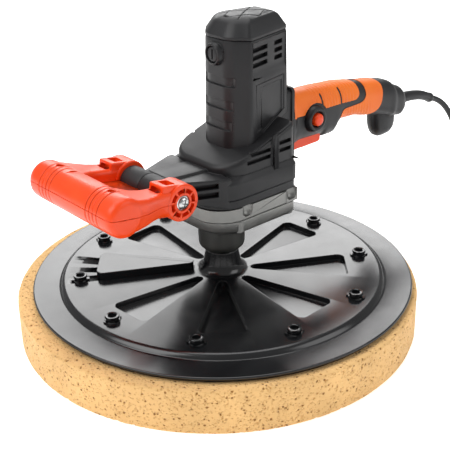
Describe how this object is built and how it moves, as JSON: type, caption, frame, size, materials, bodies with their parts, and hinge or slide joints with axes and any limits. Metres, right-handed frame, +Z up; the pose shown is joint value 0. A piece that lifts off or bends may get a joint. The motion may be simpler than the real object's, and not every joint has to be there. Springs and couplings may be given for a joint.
{
  "type": "grout float",
  "caption": "Powered grout float: a round sponge pad on a spindle, under an upright motor with a loop handle at the front and a trigger grip behind.",
  "frame": {"origin": "on the spindle axis at the sponge's working face", "axes": "+Z up along the spindle, +X from the spindle towards the rear handle, -X towards the loop handle"},
  "size_m": [0.6433, 0.39, 0.301],
  "materials": {
    "sponge": "open cell foam, tan",
    "hook_fabric": "hook pile, black",
    "plate": "smooth moulded, black",
    "casing": "fine spark texture, black",
    "cast_aluminium": "sand-blasted casting, grey",
    "steel": "ground or zinc plated",
    "copper": "enamelled winding",
    "carbon": "pressed carbon",
    "lamination": "stacked sheets",
    "orange_plastic": "satin moulded, orange",
    "orange_grip": "soft moulded, orange",
    "black_rubber": "smooth, black"
  },
  "bodies": {
    "housing": {"bearing_plate": "cast_aluminium", "brush_cap_front": "casing", "brush_cap_rear": "casing", "carbon_brush_front": "carbon", "carbon_brush_rear": "carbon", "cord_coil": "black_rubber", "cord_guard": "black_rubber", "field_coil_lower": "copper", "field_coil_upper": "copper", "gear_case_cover": "cast_aluminium", "gear_case_middle": "cast_aluminium", "gear_case_screw_1": "steel", "gear_case_screw_2": "steel", "gear_case_screw_3": "steel", "gear_case_screw_4": "steel", "gear_housing": "casing", "handle_crossbar": "black_rubber", "mains_cord": "black_rubber", "mains_plug": "black_rubber", "motor_bearing_lower": "steel", "motor_bearing_upper": "steel", "motor_housing": "casing", "pivot_bolt_left": "steel", "pivot_bolt_right": "steel", "rear_grip_skin": "orange_grip", "rear_handle_left": "casing", "rear_handle_right": "casing", "spindle_bearing_lower": "steel", "spindle_bearing_upper": "steel", "stator_core": "lamination", "switch_body": "casing", "top_cap": "casing"},
    "spindle": {"spindle": "steel", "spindle_gear": "steel", "backing_plate": "plate", "hook_and_loop_disc": "hook_fabric", "sponge_pad": "sponge", "plate_rivet_1": "plate", "plate_rivet_10": "plate", "plate_rivet_2": "plate", "plate_rivet_3": "plate", "plate_rivet_4": "plate", "plate_rivet_5": "plate", "plate_rivet_6": "plate", "plate_rivet_7": "plate", "plate_rivet_8": "plate", "plate_rivet_9": "plate"},
    "layshaft": {"layshaft": "steel"},
    "armature": {"motor_shaft": "steel", "armature_core": "lamination", "commutator": "copper", "cooling_fan": "casing"},
    "loop_handle": {"loop_handle_lower": "orange_plastic", "loop_handle_upper": "orange_plastic", "loop_screw_1": "steel", "loop_screw_2": "steel", "loop_screw_3": "steel", "loop_screw_4": "steel"},
    "trigger": {"trigger": "orange_plastic"},
    "lock_button": {"lock_button": "orange_plastic"}
  },
  "joints": [
    {"name": "spindle_spin", "type": "hinge", "parent": "housing", "child": "spindle", "pos_m": [0, 0, 0.1], "axis": [0, 0, 1], "continuous": true},
    {"name": "layshaft_spin", "type": "hinge", "parent": "housing", "child": "layshaft", "pos_m": [0.03042, 0.02193, 0.13], "axis": [0, 0, 1], "continuous": true},
    {"name": "motor_spin", "type": "hinge", "parent": "housing", "child": "armature", "pos_m": [0.035, 0, 0.2], "axis": [0, 0, 1], "continuous": true},
    {"name": "loop_tilt", "type": "hinge", "parent": "housing", "child": "loop_handle", "pos_m": [-0.0843, 0, 0.1637], "axis": [0, 1, 0], "range_deg": [-40, 60]},
    {"name": "trigger_press", "type": "slide", "parent": "housing", "child": "trigger", "axis": [0, 0, 1], "range_m": [0, 0.006], "stiffness_N_per_m": 800},
    {"name": "lock_press", "type": "slide", "parent": "housing", "child": "lock_button", "axis": [0, 1, 0], "range_m": [0, 0.003], "stiffness_N_per_m": 900}
  ],
  "couplings": [
    {"joint": "layshaft_spin", "follows": "spindle_spin", "ratio": -4},
    {"joint": "motor_spin", "follows": "spindle_spin", "ratio": 14.667}
  ]
}
